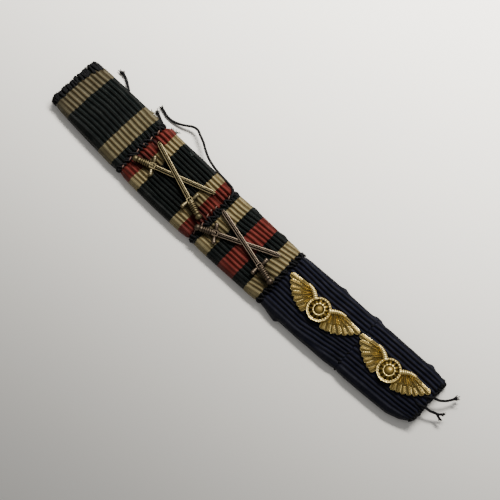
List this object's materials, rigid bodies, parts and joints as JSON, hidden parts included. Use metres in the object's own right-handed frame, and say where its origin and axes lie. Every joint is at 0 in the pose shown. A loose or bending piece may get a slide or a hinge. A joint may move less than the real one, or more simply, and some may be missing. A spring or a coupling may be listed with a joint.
{
  "type": "ribbon bar",
  "caption": "Sewn ribbon bar: ribbed striped ribbons wrapped round a flat backing strip, with crossed swords and gilt winged devices on the front.",
  "frame": {"origin": "centre of the bar's footprint, on the surface that its back rests on", "axes": "+X along the bar from the black and cream ribbon to the plain navy ones, +Y towards the edge that is up when worn, +Z out of the front"},
  "size_m": [0.1254, 0.0196, 0.0057],
  "materials": {
    "backing_cloth": "dull dark woven wool cloth, stiffened",
    "ribbon_black_cream": "ribbed ribbon, black with two cream stripes, slightly worn",
    "ribbon_red_cream_black": "ribbed ribbon, red, cream and black stripes, slightly worn",
    "ribbon_black_cream_red": "ribbed ribbon, black, cream and red stripes, slightly worn",
    "ribbon_navy": "ribbed dark navy ribbon, slightly dusty",
    "pale_brass": "worn gilt brass, dulled in the hollows",
    "dark_bronze": "toned bronze, pinkish where it is rubbed",
    "gilt": "bright gilding, darker in the feather grooves"
  },
  "bodies": {
    "root": {"backing_strip": "backing_cloth", "ribbon_1": "ribbon_black_cream", "ribbon_2": "ribbon_red_cream_black", "ribbon_3": "ribbon_black_cream_red", "ribbon_4": "ribbon_navy", "ribbon_5": "ribbon_navy", "swords_a": "pale_brass", "swords_b": "dark_bronze", "wings_a": "gilt", "wings_b": "gilt"}
  },
  "joints": []
}
